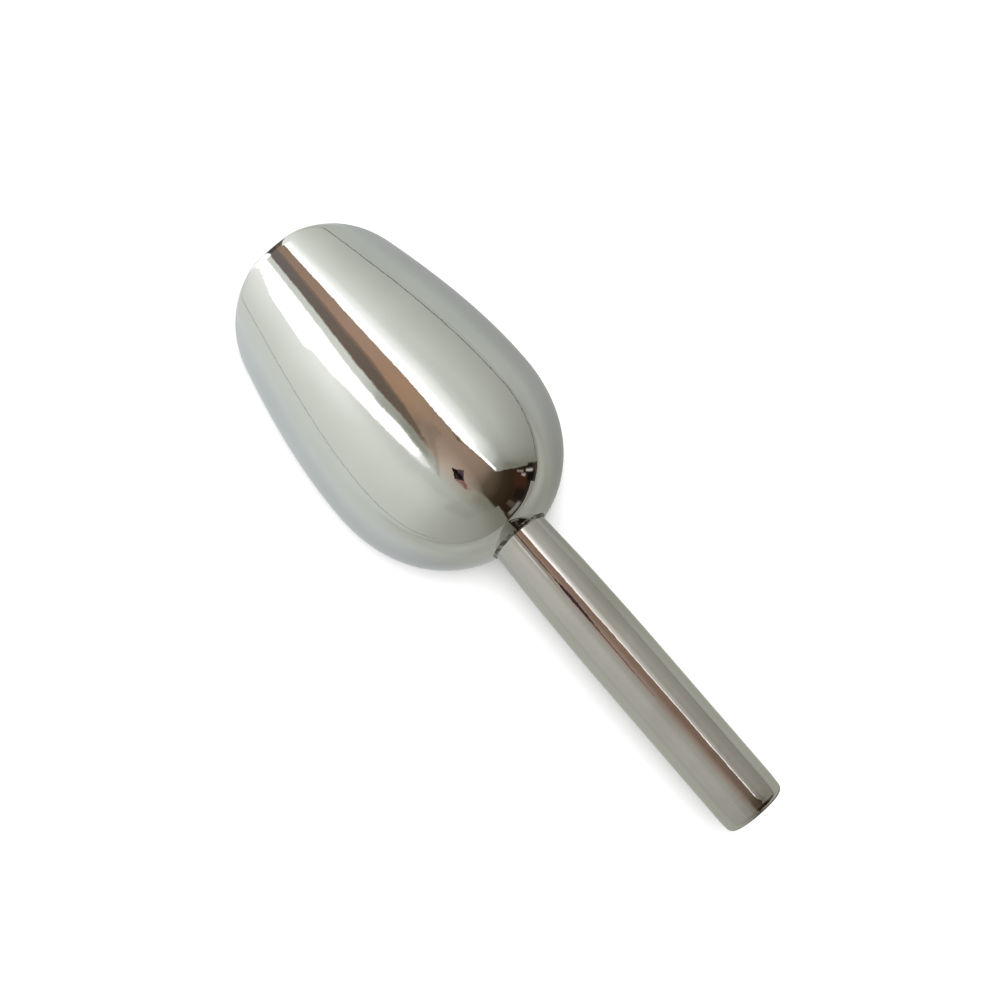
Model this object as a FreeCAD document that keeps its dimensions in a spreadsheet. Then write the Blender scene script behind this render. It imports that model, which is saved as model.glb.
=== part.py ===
import FreeCAD, Part
import math
import os
import sys

import Sketcher

V = FreeCAD.Vector

# Ice scoop: a bowl pressed from stainless sheet, a hollow tube handle welded to
# the closed back of the bowl, and a pressed cap welded into the tube's free end.
#
# Frame, in millimetres: the scoop lies mouth down on the rim of its bowl.
#   z = 0 is the plane of the rim, +Z comes out of the convex back of the bowl,
#   +X runs along the handle from the pouring lip to the free end,
#   the origin is below the middle of the overall length.
# A station is a distance along X measured from the front of the lip.

doc = FreeCAD.newDocument("ice_scoop")

# --------------------------------------------------------------------- sizes
sheet = doc.addObject("Spreadsheet::Sheet", "sizes")
sheet.Label = "sizes"
SIZES = [
    # alias, value, meaning
    ("overall_length", 211.8, "front of the lip to the crown of the end cap"),
    ("sheet_wall", 0.8, "sheet thickness of the bowl"),
    ("bowl_half_width", 35.84, "half of the bowl's widest outside width"),
    ("bowl_depth", 34.76, "outside depth of the bowl, rim plane to crest"),
    ("back_start", 69.12, "station where the rounded back begins"),
    ("back_length", 40.44, "length of the rounded back along the axis"),
    ("back_side_power", 2.1, "roundness of the back in plan, 2 is an ellipse"),
    ("back_crest_power", 3.15, "roundness of the back in side view"),
    ("taper_slope", 0.381, "slope that the sides approach towards the lip"),
    ("taper_soft", 21.52, "softness of the sides' curve towards the lip"),
    ("lip_height", 22.55, "height of the lip above the rim plane at its nose"),
    ("mouth_angle", 49.8, "angle of the mouth to the rim plane, in degrees"),
    ("mouth_nose_radius", 3.0, "side view radius at the top of the mouth"),
    ("mouth_corner_radius", 9.0, "side view radius from mouth to rim"),
    ("handle_height", 13.0, "axis of the handle above the rim plane"),
    ("tube_radius", 10.0, "outside radius of the handle tube"),
    ("tube_wall", 0.8, "wall of the handle tube"),
    ("tube_start", 104.0, "station of the tube's blank end inside the bowl form"),
    ("neck_radius", 8.75, "outside radius of the swaged neck at the blank end"),
    ("neck_mid", 124.3, "station of the swage's knee"),
    ("neck_mid_radius", 9.6, "outside radius at the knee"),
    ("neck_end", 150.2, "station where the full radius starts"),
    ("tube_end", 204.8, "station of the tube's free end"),
    ("seam_depth", 0.4, "depth and half width of the groove at the cap seam"),
    ("cap_wall", 1.0, "wall of the end cap"),
    ("cap_corner", 2.1, "outside corner radius of the end cap"),
    ("cap_crown", 0.4, "crown of the end cap's face"),
    ("cap_draft", 0.2, "loss of radius along the cap's polished skirt"),
    ("spigot_length", 4.0, "length of the cap's spigot inside the tube"),
    ("spigot_gap", 0.05, "radial gap between the spigot and the tube"),
    ("bead_leg", 0.8, "radius of the weld bead around the neck"),
]
for row, (alias, value, meaning) in enumerate(SIZES, start=1):
    sheet.set("A%d" % row, alias)
    sheet.set("B%d" % row, "%g" % value)
    sheet.set("C%d" % row, meaning)
    sheet.setAlias("B%d" % row, alias)
doc.recompute()


def size(name):
    return float(getattr(sheet, name))


L = size("overall_length")
T = size("sheet_wall")


# ------------------------------------------------- the bowl's outside surface
def half_width(station):
    """Outside half width at the rim, ahead of the rounded back."""
    d = size("back_start") - station
    soft = size("taper_soft")
    return size("bowl_half_width") - (math.hypot(soft, size("taper_slope") * d) - soft)


def depth_ratio():
    return size("bowl_depth") / size("bowl_half_width")


def form_point(kind, a, theta):
    """A point of the outside. kind "front": a is the station; kind "back": a
    is the angle from the widest section to the pole at the end of the back."""
    cs, sn = math.cos(theta), math.sin(theta)
    if kind == "front":
        w = half_width(a)
        return V(a - L / 2, w * cs, w * depth_ratio() * sn)
    n = size("back_side_power")
    n += (size("back_crest_power") - n) * sn * sn
    ca, sa = max(math.cos(a), 0.0), max(math.sin(a), 0.0)
    k = (ca ** n + sa ** n) ** (-1.0 / n)
    r, w = ca * k, size("bowl_half_width")
    return V(
        size("back_start") + size("back_length") * sa * k - L / 2,
        r * w * cs,
        r * w * depth_ratio() * sn,
    )


def form_normal(kind, a, theta):
    """Outward unit normal by central differences."""
    if kind == "back" and a > math.pi / 2 - 1e-6:
        return V(1, 0, 0)
    ea = 1e-3 if kind == "front" else 1e-5
    et = 1e-5
    da = form_point(kind, a + ea, theta) - form_point(kind, a - ea, theta)
    dt = form_point(kind, a, theta + et) - form_point(kind, a, theta - et)
    nrm = dt.cross(da)
    nrm.normalize()
    if nrm.dot(V(0, math.cos(theta), math.sin(theta))) < 0:
        nrm = nrm * -1
    return nrm


def grid(offset, first_station):
    """Rows from ahead of the lip to the pole, each from rim to rim."""
    rows = []
    n_front, n_back, n_around = 14, 15, 28
    for i in range(n_front):
        rows.append(
            ("front", first_station + (size("back_start") - first_station) * i / n_front)
        )
    for i in range(n_back + 1):
        rows.append(("back", math.pi / 2 * i / n_back))
    out = []
    for kind, a in rows:
        line = []
        for j in range(n_around + 1):
            theta = math.pi * j / n_around
            p = form_point(kind, a, theta)
            if offset and kind == "front":
                # every point of a front row is brought to the row's own station
                want, at = p.x, a
                for _ in range(6):
                    p = form_point(kind, at, theta) - form_normal(kind, at, theta) * offset
                    at += want - p.x
                p.x = want
            elif offset and a == 0.0:
                p = p - form_normal("front", size("back_start"), theta) * offset
            elif offset:
                p = p - form_normal(kind, a, theta) * offset
            if j in (0, n_around):
                p.z = 0.0
            line.append(p)
        out.append(line)
    return out


# --------------------------------------- cubic surface through a grid of points
def basis(knots, count, t):
    """All cubic basis values at t."""
    if t >= knots[-1]:
        return [0.0] * (count - 1) + [1.0]
    b = [0.0] * (count + 3)
    for i in range(count + 3):
        if knots[i] <= t < knots[i + 1]:
            b[i] = 1.0
    for deg in range(1, 4):
        for i in range(count + 3 - deg):
            v = 0.0
            if knots[i + deg] > knots[i]:
                v += (t - knots[i]) / (knots[i + deg] - knots[i]) * b[i]
            if knots[i + deg + 1] > knots[i + 1]:
                v += (
                    (knots[i + deg + 1] - t)
                    / (knots[i + deg + 1] - knots[i + 1])
                    * b[i + 1]
                )
            b[i] = v
    return b[:count]


def knot_vector(params):
    n = len(params)
    inner = [sum(params[j : j + 3]) / 3.0 for j in range(1, n - 3)]
    return [params[0]] * 4 + inner + [params[-1]] * 4


def solve(matrix, rhs):
    """Gaussian elimination with partial pivoting; rhs rows are vectors."""
    n = len(matrix)
    m = [row[:] for row in matrix]
    r = [V(x) for x in rhs]
    for c in range(n):
        p = max(range(c, n), key=lambda i: abs(m[i][c]))
        m[c], m[p] = m[p], m[c]
        r[c], r[p] = r[p], r[c]
        for i in range(c + 1, n):
            if m[i][c]:
                k = m[i][c] / m[c][c]
                for j in range(c, min(n, c + 8)):
                    m[i][j] -= k * m[c][j]
                r[i] = r[i] - r[c] * k
    for c in range(n - 1, -1, -1):
        s = V(r[c])
        for j in range(c + 1, n):
            if m[c][j]:
                s = s - r[j] * m[c][j]
        r[c] = s * (1.0 / m[c][c])
    return r


def chord_params(lines):
    n = len(lines[0])
    steps = [0.0] * n
    for line in lines:
        total = sum((line[i] - line[i - 1]).Length for i in range(1, n))
        if total < 1e-9:
            continue
        run = 0.0
        for i in range(1, n):
            run += (line[i] - line[i - 1]).Length
            steps[i] += run / total
    return [s / steps[-1] for s in steps]


def surface_through(points, even=False):
    nu, nv = len(points), len(points[0])
    columns = [[points[i][j] for i in range(nu)] for j in range(nv)]
    if even:
        pu = [i / (nu - 1.0) for i in range(nu)]
        pv = [j / (nv - 1.0) for j in range(nv)]
    else:
        pu, pv = chord_params(columns), chord_params(points)
    ku, kv = knot_vector(pu), knot_vector(pv)
    mu = [basis(ku, nu, t) for t in pu]
    mv = [basis(kv, nv, t) for t in pv]
    half = [solve(mu, column) for column in columns]
    poles = [solve(mv, [half[j][i] for j in range(nv)]) for i in range(nu)]

    def split(knots):
        values, mults = [], []
        for k in knots:
            if values and abs(k - values[-1]) < 1e-12:
                mults[-1] += 1
            else:
                values.append(k)
                mults.append(1)
        return values, mults

    uk, um = split(ku)
    vk, vm = split(kv)
    surf = Part.BSplineSurface()
    surf.buildFromPolesMultsKnots(poles, um, vm, uk, vk, False, False, 3, 3)
    return surf


def filled_form(points):
    """Closed solid under the surface: skin, rim plane face and front face."""
    surf = surface_through(points)
    skin = surf.toShape()
    u0, u1, v0, v1 = surf.bounds()
    right = surf.vIso(v0).toShape()
    left = surf.vIso(v1).toShape()
    front = surf.uIso(u0).toShape()
    a, b = points[0][0], points[0][-1]
    sill = Part.makeLine(a, b)
    base = Part.Face(Part.Wire(Part.__sortEdges__([right, left, sill])))
    nose = Part.Face(Part.Wire(Part.__sortEdges__([front, sill])))
    shell = Part.makeShell([skin, base, nose])
    shell.sewShape()
    shell = Part.Shell(shell.Faces)
    solid = Part.Solid(shell)
    if solid.Volume < 0:
        solid.reverse()
    return solid


outer_grid = grid(0.0, -2.0)
outer_skin = surface_through(outer_grid)
outer_form = doc.addObject("Part::Feature", "outer_form")
outer_form.Label = "outer_form"
outer_form.Shape = filled_form(outer_grid)

inner_form = doc.addObject("Part::Feature", "inner_form")
inner_form.Label = "inner_form"
inner_form.Shape = filled_form(grid(T, -3.0))

blank = doc.addObject("Part::Cut", "bowl_blank")
blank.Base = outer_form
blank.Tool = inner_form


# ----------------------------------------------------------- the mouth's cutter
def mouth_profile():
    """Everything ahead of the mouth, in the XZ plane. The line of the mouth
    drops plumb at the nose, turns to the mouth angle and rounds into the rim."""
    x0 = -L / 2
    ang = math.radians(size("mouth_angle"))
    rn, rc = size("mouth_nose_radius"), size("mouth_corner_radius")
    zt = size("lip_height")
    turn = math.pi / 2 - ang
    # nose arc, from plumb to the mouth angle
    n0 = V(x0, 0, zt)
    nc = V(x0 + rn, 0, zt)
    n1 = V(nc.x - rn * math.cos(turn), 0, nc.z - rn * math.sin(turn))
    nm = V(nc.x - rn * math.cos(turn / 2), 0, nc.z - rn * math.sin(turn / 2))
    # corner arc, tangent to the mouth line and to a line a hair under the rim
    low = -0.03
    along = (n1.z - low) / math.tan(ang)
    meet = V(n1.x + along, 0, low)
    back = rc * math.tan(ang / 2)
    c0 = V(meet.x - back * math.cos(ang), 0, low + back * math.sin(ang))
    cc = V(meet.x + back, 0, low + rc)
    c1 = V(meet.x + back, 0, low)
    cm = V(cc.x - rc * math.sin(ang / 2), 0, cc.z - rc * math.cos(ang / 2))
    top, under, ahead = 60.0, -5.0, x0 - 20.0
    edges = [
        Part.makeLine(V(x0, 0, top), n0),
        Part.Arc(n0, nm, n1).toShape(),
        Part.makeLine(n1, c0),
        Part.Arc(c0, cm, c1).toShape(),
        Part.makeLine(c1, V(c1.x, 0, under)),
        Part.makeLine(V(c1.x, 0, under), V(ahead, 0, under)),
        Part.makeLine(V(ahead, 0, under), V(ahead, 0, top)),
        Part.makeLine(V(ahead, 0, top), V(x0, 0, top)),
    ]
    return Part.Face(Part.Wire(edges))


profile = doc.addObject("Part::Feature", "mouth_profile")
profile.Label = "mouth_profile"
profile.Shape = mouth_profile()

cutter = doc.addObject("Part::Extrusion", "mouth_cutter")
cutter.Base = profile
cutter.DirMode = "Custom"
cutter.Dir = V(0, 1, 0)
cutter.setExpression("LengthFwd", "<<sizes>>.bowl_half_width + 10")
cutter.setExpression("LengthRev", "<<sizes>>.bowl_half_width + 10")
cutter.Solid = True

bowl = doc.addObject("Part::Cut", "bowl")
bowl.Label = "bowl"
bowl.Base = blank
bowl.Tool = cutter
doc.recompute()


# ------------------------------------------------------------ sketch helpers
def new_body(name):
    body = doc.addObject("PartDesign::Body", name)
    doc.recompute()
    return body


def plane_of(body, role):
    for feature in body.Origin.OriginFeatures:
        if feature.Role == role:
            return feature
    raise RuntimeError("no plane " + role)


def profile_sketch(body, name, corners, arcs=()):
    """A closed profile in the body's XY plane, X along the axis and Y the
    radius. corners: (x, x_expression, y, y_expression) with y_expression None
    on the axis. arcs: {edge index: (radius expression, centre guess)}."""
    sketch = body.newObject("Sketcher::SketchObject", name)
    sketch.AttachmentSupport = [(plane_of(body, "XY_Plane"), "")]
    sketch.MapMode = "FlatFace"
    arcs = dict(arcs)
    pts = [V(c[0], c[2], 0) for c in corners]
    n = len(pts)
    ends = []
    for i in range(n):
        a, b = pts[i], pts[(i + 1) % n]
        if i in arcs:
            expr, centre = arcs[i]
            r = (a - centre).Length
            t0 = math.atan2(a.y - centre.y, a.x - centre.x)
            t1 = math.atan2(b.y - centre.y, b.x - centre.x)
            sweep = (t1 - t0) % (2 * math.pi)
            if sweep <= math.pi:
                geo = Part.ArcOfCircle(Part.Circle(centre, V(0, 0, 1), r), t0, t1)
                ends.append((1, 2))
            else:
                geo = Part.ArcOfCircle(Part.Circle(centre, V(0, 0, 1), r), t1, t0)
                ends.append((2, 1))
        else:
            geo = Part.LineSegment(a, b)
            ends.append((1, 2))
        sketch.addGeometry(geo, False)
    for i in range(n):
        j = (i + 1) % n
        sketch.addConstraint(
            Sketcher.Constraint("Coincident", i, ends[i][1], j, ends[j][0])
        )
    for i, (x, xe, y, ye) in enumerate(corners):
        p = ends[i][0]
        if xe is None:
            sketch.addConstraint(Sketcher.Constraint("PointOnObject", i, p, -2))
        else:
            k = sketch.addConstraint(Sketcher.Constraint("DistanceX", -1, 1, i, p, x))
            sketch.setExpression("Constraints[%d]" % k, xe)
        if ye is None:
            sketch.addConstraint(Sketcher.Constraint("PointOnObject", i, p, -1))
        else:
            k = sketch.addConstraint(Sketcher.Constraint("DistanceY", -1, 1, i, p, y))
            sketch.setExpression("Constraints[%d]" % k, ye)
    for i, (expr, centre) in arcs.items():
        r = (pts[i] - centre).Length
        k = sketch.addConstraint(Sketcher.Constraint("Radius", i, r))
        sketch.setExpression("Constraints[%d]" % k, expr)
    doc.recompute()
    return sketch


def revolve(body, sketch, name):
    rev = body.newObject("PartDesign::Revolution", name)
    rev.Profile = sketch
    rev.ReferenceAxis = (sketch, ["H_Axis"])
    rev.Angle = 360.0
    doc.recompute()
    body.Tip = rev
    sketch.Visibility = False
    return rev


def on_axis(obj, station_expr):
    """Places a body with its local origin on the handle's axis."""
    obj.setExpression("Placement.Base.x", station_expr + " - <<sizes>>.overall_length / 2")
    obj.setExpression("Placement.Base.z", "<<sizes>>.handle_height")


S = "<<sizes>>."

# ------------------------------------------------------------- the handle tube
# Swaged from the full radius down to a neck, with a half groove at the free end.
ts = size("tube_start")
xs = [size(k) - ts for k in ("neck_mid", "neck_end", "tube_end")]
g, w = size("seam_depth"), size("tube_wall")
rn, rm, rr = size("neck_radius"), size("neck_mid_radius"), size("tube_radius")


def rel(alias, more=""):
    return "%s%s - %stube_start%s" % (S, alias, S, more)


tube_body = new_body("handle_tube_blank")
tube_sketch = profile_sketch(
    tube_body,
    "tube_profile",
    [
        (0, None, rn, S + "neck_radius"),
        (xs[0], rel("neck_mid"), rm, S + "neck_mid_radius"),
        (xs[1], rel("neck_end"), rr, S + "tube_radius"),
        (xs[2] - g, rel("tube_end", " - " + S + "seam_depth"), rr, S + "tube_radius"),
        (xs[2], rel("tube_end"), rr - g, S + "tube_radius - " + S + "seam_depth"),
        (xs[2], rel("tube_end"), rr - w, S + "tube_radius - " + S + "tube_wall"),
        (xs[1], rel("neck_end"), rr - w, S + "tube_radius - " + S + "tube_wall"),
        (xs[0], rel("neck_mid"), rm - w, S + "neck_mid_radius - " + S + "tube_wall"),
        (0, None, rn - w, S + "neck_radius - " + S + "tube_wall"),
    ],
)
revolve(tube_body, tube_sketch, "tube_turned")
on_axis(tube_body, S + "tube_start")

# The neck's end is coped to the outside of the bowl, where it is welded.
handle_tube = doc.addObject("Part::Cut", "handle_tube")
handle_tube.Label = "handle_tube"
handle_tube.Base = tube_body
handle_tube.Tool = outer_form

# --------------------------------------------------------- the handle's end cap
# A pressed cup: crowned face, rounded corner, short tapered skirt that carries
# the other half of the groove, and a spigot that plugs into the tube.
ct = size("cap_wall")
cr, crown, draft = size("cap_corner"), size("cap_crown"), size("cap_draft")
sp, gap = size("spigot_length"), size("spigot_gap")
full = L - size("tube_end")  # skirt shoulder to crown
rs = rr - draft  # radius where the corner starts
ri = rr - w - gap  # spigot's outside radius
x_face = full - crown  # edge of the crowned face
r_face = rs - cr
half_chord = r_face
dome = (half_chord ** 2 + crown ** 2) / (2 * crown)
dome_expr = (
    "((%(s)stube_radius - %(s)scap_draft - %(s)scap_corner)^2 + %(s)scap_crown^2)"
    " / (2 * %(s)scap_crown)" % {"s": S}
)
Ex = S + "overall_length - " + S + "tube_end"
spx = sp  # local origin is the spigot's inner end, so every x is positive
inner_r = ri - ct
inner_x = sp + full - crown - ct
inner_c = 2.2
cap_body = new_body("handle_end_cap")
cap_body.Label = "handle_end_cap"
cap_sketch = profile_sketch(
    cap_body,
    "cap_profile",
    [
        # crown on the axis
        (spx + full, S + "spigot_length + " + Ex, 0, None),
        # edge of the crowned face
        (
            spx + x_face,
            S + "spigot_length + " + Ex + " - " + S + "cap_crown",
            r_face,
            S + "tube_radius - " + S + "cap_draft - " + S + "cap_corner",
        ),
        # end of the corner
        (
            spx + x_face - cr,
            S + "spigot_length + " + Ex + " - " + S + "cap_crown - " + S + "cap_corner",
            rs,
            S + "tube_radius - " + S + "cap_draft",
        ),
        # skirt to the groove
        (
            spx + g,
            S + "spigot_length + " + S + "seam_depth",
            rr,
            S + "tube_radius",
        ),
        (spx, S + "spigot_length", rr - g, S + "tube_radius - " + S + "seam_depth"),
        # shoulder to the spigot
        (
            spx,
            S + "spigot_length",
            ri,
            S + "tube_radius - " + S + "tube_wall - " + S + "spigot_gap",
        ),
        (0, None, ri, S + "tube_radius - " + S + "tube_wall - " + S + "spigot_gap"),
        (
            0,
            None,
            inner_r,
            S + "tube_radius - " + S + "tube_wall - " + S + "spigot_gap - " + S + "cap_wall",
        ),
        # inside of the cup
        (
            inner_x - inner_c,
            S + "spigot_length + " + Ex + " - " + S + "cap_crown - " + S + "cap_wall - 2.2",
            inner_r,
            S + "tube_radius - " + S + "tube_wall - " + S + "spigot_gap - " + S + "cap_wall",
        ),
        (
            inner_x,
            S + "spigot_length + " + Ex + " - " + S + "cap_crown - " + S + "cap_wall",
            inner_r - inner_c,
            S
            + "tube_radius - "
            + S
            + "tube_wall - "
            + S
            + "spigot_gap - "
            + S
            + "cap_wall - 2.2",
        ),
        (
            inner_x,
            S + "spigot_length + " + Ex + " - " + S + "cap_crown - " + S + "cap_wall",
            0,
            None,
        ),
    ],
    {
        0: (dome_expr, V(spx + full - dome, 0, 0)),
        1: (S + "cap_corner", V(spx + x_face - cr, r_face, 0)),
        8: ("2.2", V(inner_x - inner_c, inner_r - inner_c, 0)),
    },
)
revolve(cap_body, cap_sketch, "cap_turned")
on_axis(cap_body, S + "tube_end - " + S + "spigot_length")
doc.recompute()

# ------------------------------------------------ the filled groove at the cap
seam_body = new_body("cap_weld_bead")
seam_body.Label = "cap_weld_bead"
seam_sketch = profile_sketch(
    seam_body,
    "seam_profile",
    [
        (0, None, rr, S + "tube_radius"),
        (g, S + "seam_depth", rr - g, S + "tube_radius - " + S + "seam_depth"),
        (2 * g, "2 * " + S + "seam_depth", rr, S + "tube_radius"),
    ],
)
revolve(seam_body, seam_sketch, "seam_turned")
on_axis(seam_body, S + "tube_end - " + S + "seam_depth")
doc.recompute()


# --------------------------------------- the weld bead between neck and bowl
def neck_hit(offset, azimuth):
    """Where a straight line of the neck's outside, moved out by offset, meets
    the outside of the bowl, and the line's direction."""
    x0, x1 = size("tube_start"), size("neck_mid")
    r0, r1 = size("neck_radius") + offset, size("neck_mid_radius") + offset
    out = V(0, math.sin(azimuth), -math.cos(azimuth))
    up = V(0, 0, size("handle_height"))
    a = V(x0 - 3 - L / 2, 0, 0) + up + out * (r0 - 3 * (r1 - r0) / (x1 - x0))
    b = V(x1 - L / 2, 0, 0) + up + out * r1
    hits = Part.LineSegment(a, b).intersectCS(outer_skin)[0]
    if not hits:
        raise RuntimeError("the neck misses the bowl")
    point = max((V(q.X, q.Y, q.Z) for q in hits), key=lambda q: q.x)
    along = b - a
    along.normalize()
    return point, along


def neck_bead():
    """A closed ring with three faces: one on the bowl, one on the neck and a
    slightly crowned one between them. Each is a surface through closed rows of
    points that start and end under the handle."""
    leg, count = size("bead_leg"), 40
    rows_bowl = [[] for _ in range(4)]
    rows_neck = [[] for _ in range(4)]
    rows_face = [[] for _ in range(4)]
    for i in range(count):
        azimuth = 2 * math.pi * i / count
        hits = [neck_hit(leg * k / 3.0, azimuth) for k in range(4)]
        foot, along = hits[0]
        on_neck = [foot + along * (leg * k / 3.0) for k in range(4)]
        edge_a, edge_b = hits[3][0], on_neck[3]
        crown = (edge_a + edge_b) * 0.5 - foot
        crown.normalize()
        for k in range(4):
            f = k / 3.0
            lift = 0.12 * leg * 4 * f * (1 - f)
            rows_bowl[k].append(hits[k][0])
            rows_neck[k].append(on_neck[k])
            rows_face[k].append(edge_a * (1 - f) + edge_b * f + crown * lift)
    faces = []
    for rows in (rows_bowl, rows_neck, rows_face):
        for row in rows:
            row.append(V(row[0]))
        faces.append(surface_through(rows, even=True).toShape())
    shell = Part.makeShell(faces)
    shell.sewShape()
    solid = Part.Solid(Part.Shell(shell.Faces))
    if solid.Volume < 0:
        solid.reverse()
    return solid


bowl_bead = doc.addObject("Part::Feature", "bowl_weld_bead")
bowl_bead.Label = "bowl_weld_bead"
bowl_bead.Shape = neck_bead()
doc.recompute()

# -------------------------------------------------------------- check and write
NODES = [bowl, handle_tube, cap_body, seam_body, bowl_bead]
for obj in doc.Objects:
    if "Invalid" in obj.State or "Error" in obj.State:
        sys.exit("failed object: %s %s" % (obj.Name, obj.State))
for obj in NODES:
    shape = obj.Shape
    if shape.isNull() or not shape.isValid() or not shape.Solids:
        sys.exit("bad shape: " + obj.Label)

os.makedirs("parts", exist_ok=True)
for obj in NODES:
    obj.Shape.exportStep("parts/%s.step" % obj.Label)
    box = obj.Shape.BoundBox
    print(
        "%-16s solids %d faces %3d volume %9.2f x %8.3f..%8.3f y %8.3f..%8.3f z %7.3f..%7.3f"
        % (
            obj.Label,
            len(obj.Shape.Solids),
            len(obj.Shape.Faces),
            obj.Shape.Volume,
            box.XMin,
            box.XMax,
            box.YMin,
            box.YMax,
            box.ZMin,
            box.ZMax,
        )
    )
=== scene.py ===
"""The looks of a polished stainless ice scoop that lies mouth down on a pale table,
inside a light tent whose top is open along a slot. Lengths are millimetres until a
mesh is made, and a station is the distance from the lip, measured along X."""

import math

import bmesh
import bpy
import numpy as np
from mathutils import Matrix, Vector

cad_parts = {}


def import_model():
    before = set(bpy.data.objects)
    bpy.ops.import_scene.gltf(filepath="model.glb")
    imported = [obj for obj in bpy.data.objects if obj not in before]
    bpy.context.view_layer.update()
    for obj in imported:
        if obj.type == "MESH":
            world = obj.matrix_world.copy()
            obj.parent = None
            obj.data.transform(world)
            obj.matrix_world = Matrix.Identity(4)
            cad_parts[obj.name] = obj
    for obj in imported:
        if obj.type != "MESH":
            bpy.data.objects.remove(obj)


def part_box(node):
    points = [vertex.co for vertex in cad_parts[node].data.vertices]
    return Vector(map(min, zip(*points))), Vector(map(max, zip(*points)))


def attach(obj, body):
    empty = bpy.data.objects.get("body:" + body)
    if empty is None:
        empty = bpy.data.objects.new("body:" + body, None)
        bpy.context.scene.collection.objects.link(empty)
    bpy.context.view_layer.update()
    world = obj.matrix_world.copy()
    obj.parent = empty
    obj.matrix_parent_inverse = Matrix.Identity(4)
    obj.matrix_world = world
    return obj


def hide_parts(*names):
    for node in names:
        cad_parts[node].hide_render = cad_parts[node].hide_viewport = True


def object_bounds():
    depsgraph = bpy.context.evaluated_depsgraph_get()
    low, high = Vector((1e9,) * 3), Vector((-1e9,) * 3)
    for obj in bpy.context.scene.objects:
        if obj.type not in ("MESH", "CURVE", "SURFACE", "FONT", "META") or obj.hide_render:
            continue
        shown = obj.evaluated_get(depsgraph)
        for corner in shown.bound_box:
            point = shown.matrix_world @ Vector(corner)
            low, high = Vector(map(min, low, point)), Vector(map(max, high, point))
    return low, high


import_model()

MM = 1000.0
cad_low, cad_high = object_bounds()

# ---------------------------------------------------------------- sizes from the frame
X0 = cad_low.x * MM  # world X of station 0, the lip
LENGTH = (cad_high.x - cad_low.x) * MM
bowl_low, bowl_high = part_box("bowl")
tube_low, tube_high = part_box("handle_tube")
bead_low, bead_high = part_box("cap_weld_bead")
HALF_WIDTH = bowl_high.y * MM
DEPTH = bowl_high.z * MM
BOWL_END = bowl_high.x * MM - X0
TUBE_R = (tube_high.y - tube_low.y) * MM / 2
AXIS_Z = (tube_high.z + tube_low.z) * MM / 2
TUBE_END = tube_high.x * MM - X0
SEAM = (bead_high.x - bead_low.x) * MM / 2

# form of the bowl
WALL = 0.8
BACK_START = BOWL_END - 40.44
BACK_LENGTH = 40.44
SIDE_POWER, CREST_POWER = 2.1, 3.15
TAPER, TAPER_SOFT = 0.381, 21.52
LIP_Z = 22.55
MOUTH = math.radians(49.8)
NOSE_R, CORNER_R = 3.0, 9.0
RATIO = DEPTH / HALF_WIDTH


def width(s):
    t = TAPER * (BACK_START - s)
    return HALF_WIDTH - (np.hypot(TAPER_SOFT, t) - TAPER_SOFT)


def front(s, th):
    w = width(s)
    return np.stack([s + 0 * th, w * np.cos(th), w * RATIO * np.sin(th)], -1)


def back(a, th):
    n = SIDE_POWER + (CREST_POWER - SIDE_POWER) * np.sin(th) ** 2
    ca, sa = np.maximum(np.cos(a), 0.0), np.sin(a)
    k = (ca**n + sa**n) ** (-1 / n)
    r = ca * k
    return np.stack(
        [
            BACK_START + BACK_LENGTH * sa * k,
            r * HALF_WIDTH * np.cos(th),
            r * DEPTH * np.sin(th),
        ],
        -1,
    )


def normal(form, u, th):
    """Outward unit normal of a form, by differences."""
    e = 1e-4
    if form is back:
        up = np.minimum(u + e, math.pi / 2)
    else:
        up = u + e
    du = form(up, th) - form(u - e, th)
    dt = form(u, th + e) - form(u, th - e)
    n = np.cross(dt, du)
    size = np.linalg.norm(n, axis=-1, keepdims=True)
    n = np.where(size > 1e-12, n / np.maximum(size, 1e-12), [1.0, 0.0, 0.0])
    return n


def mouth_station(z):
    """Station of the mouth line at a height, seen from the side."""
    z = np.asarray(z, float)
    phi = math.pi / 2 - MOUTH
    x1, z1 = NOSE_R - NOSE_R * math.cos(phi), LIP_Z - NOSE_R * math.sin(phi)
    zc = -0.03 + CORNER_R
    z2 = zc - CORNER_R * math.cos(MOUTH)
    x2 = x1 + (z1 - z2) / math.tan(MOUTH)
    xc = x2 + CORNER_R * math.sin(MOUTH)
    nose = NOSE_R - np.sqrt(np.maximum(NOSE_R**2 - (LIP_Z - z) ** 2, 0))
    line = x1 + (z1 - z) / math.tan(MOUTH)
    corner = xc - np.sqrt(np.maximum(CORNER_R**2 - (zc - z) ** 2, 0))
    return np.where(z >= LIP_Z, 0, np.where(z > z1, nose, np.where(z > z2, line, corner)))


def mouth_cut(th, offset):
    """Parameter where a column of the front meets the mouth line."""
    lo, hi = np.full_like(th, -3.0), np.full_like(th, 40.0)
    for _ in range(50):
        mid = (lo + hi) / 2
        p = front(mid, th)
        if offset:
            p = p - offset * normal(front, mid, th)
        past = p[..., 0] > mouth_station(p[..., 2])
        hi = np.where(past, mid, hi)
        lo = np.where(past, lo, mid)
    return (lo + hi) / 2


def inside_back(s, y, z):
    """Below zero inside the back of the bowl, above zero outside."""
    th = np.arctan2(z / DEPTH, y / HALF_WIDTH)
    r = np.hypot(y / HALF_WIDTH, z / DEPTH)
    n = SIDE_POWER + (CREST_POWER - SIDE_POWER) * np.sin(th) ** 2
    x = np.maximum((s - BACK_START) / BACK_LENGTH, 0)
    return r**n + x**n - 1


# ---------------------------------------------------------------- mesh making
def world(p):
    p = np.asarray(p, float)
    return np.stack([(p[..., 0] + X0) / MM, p[..., 1] / MM, p[..., 2] / MM], -1)


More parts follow.
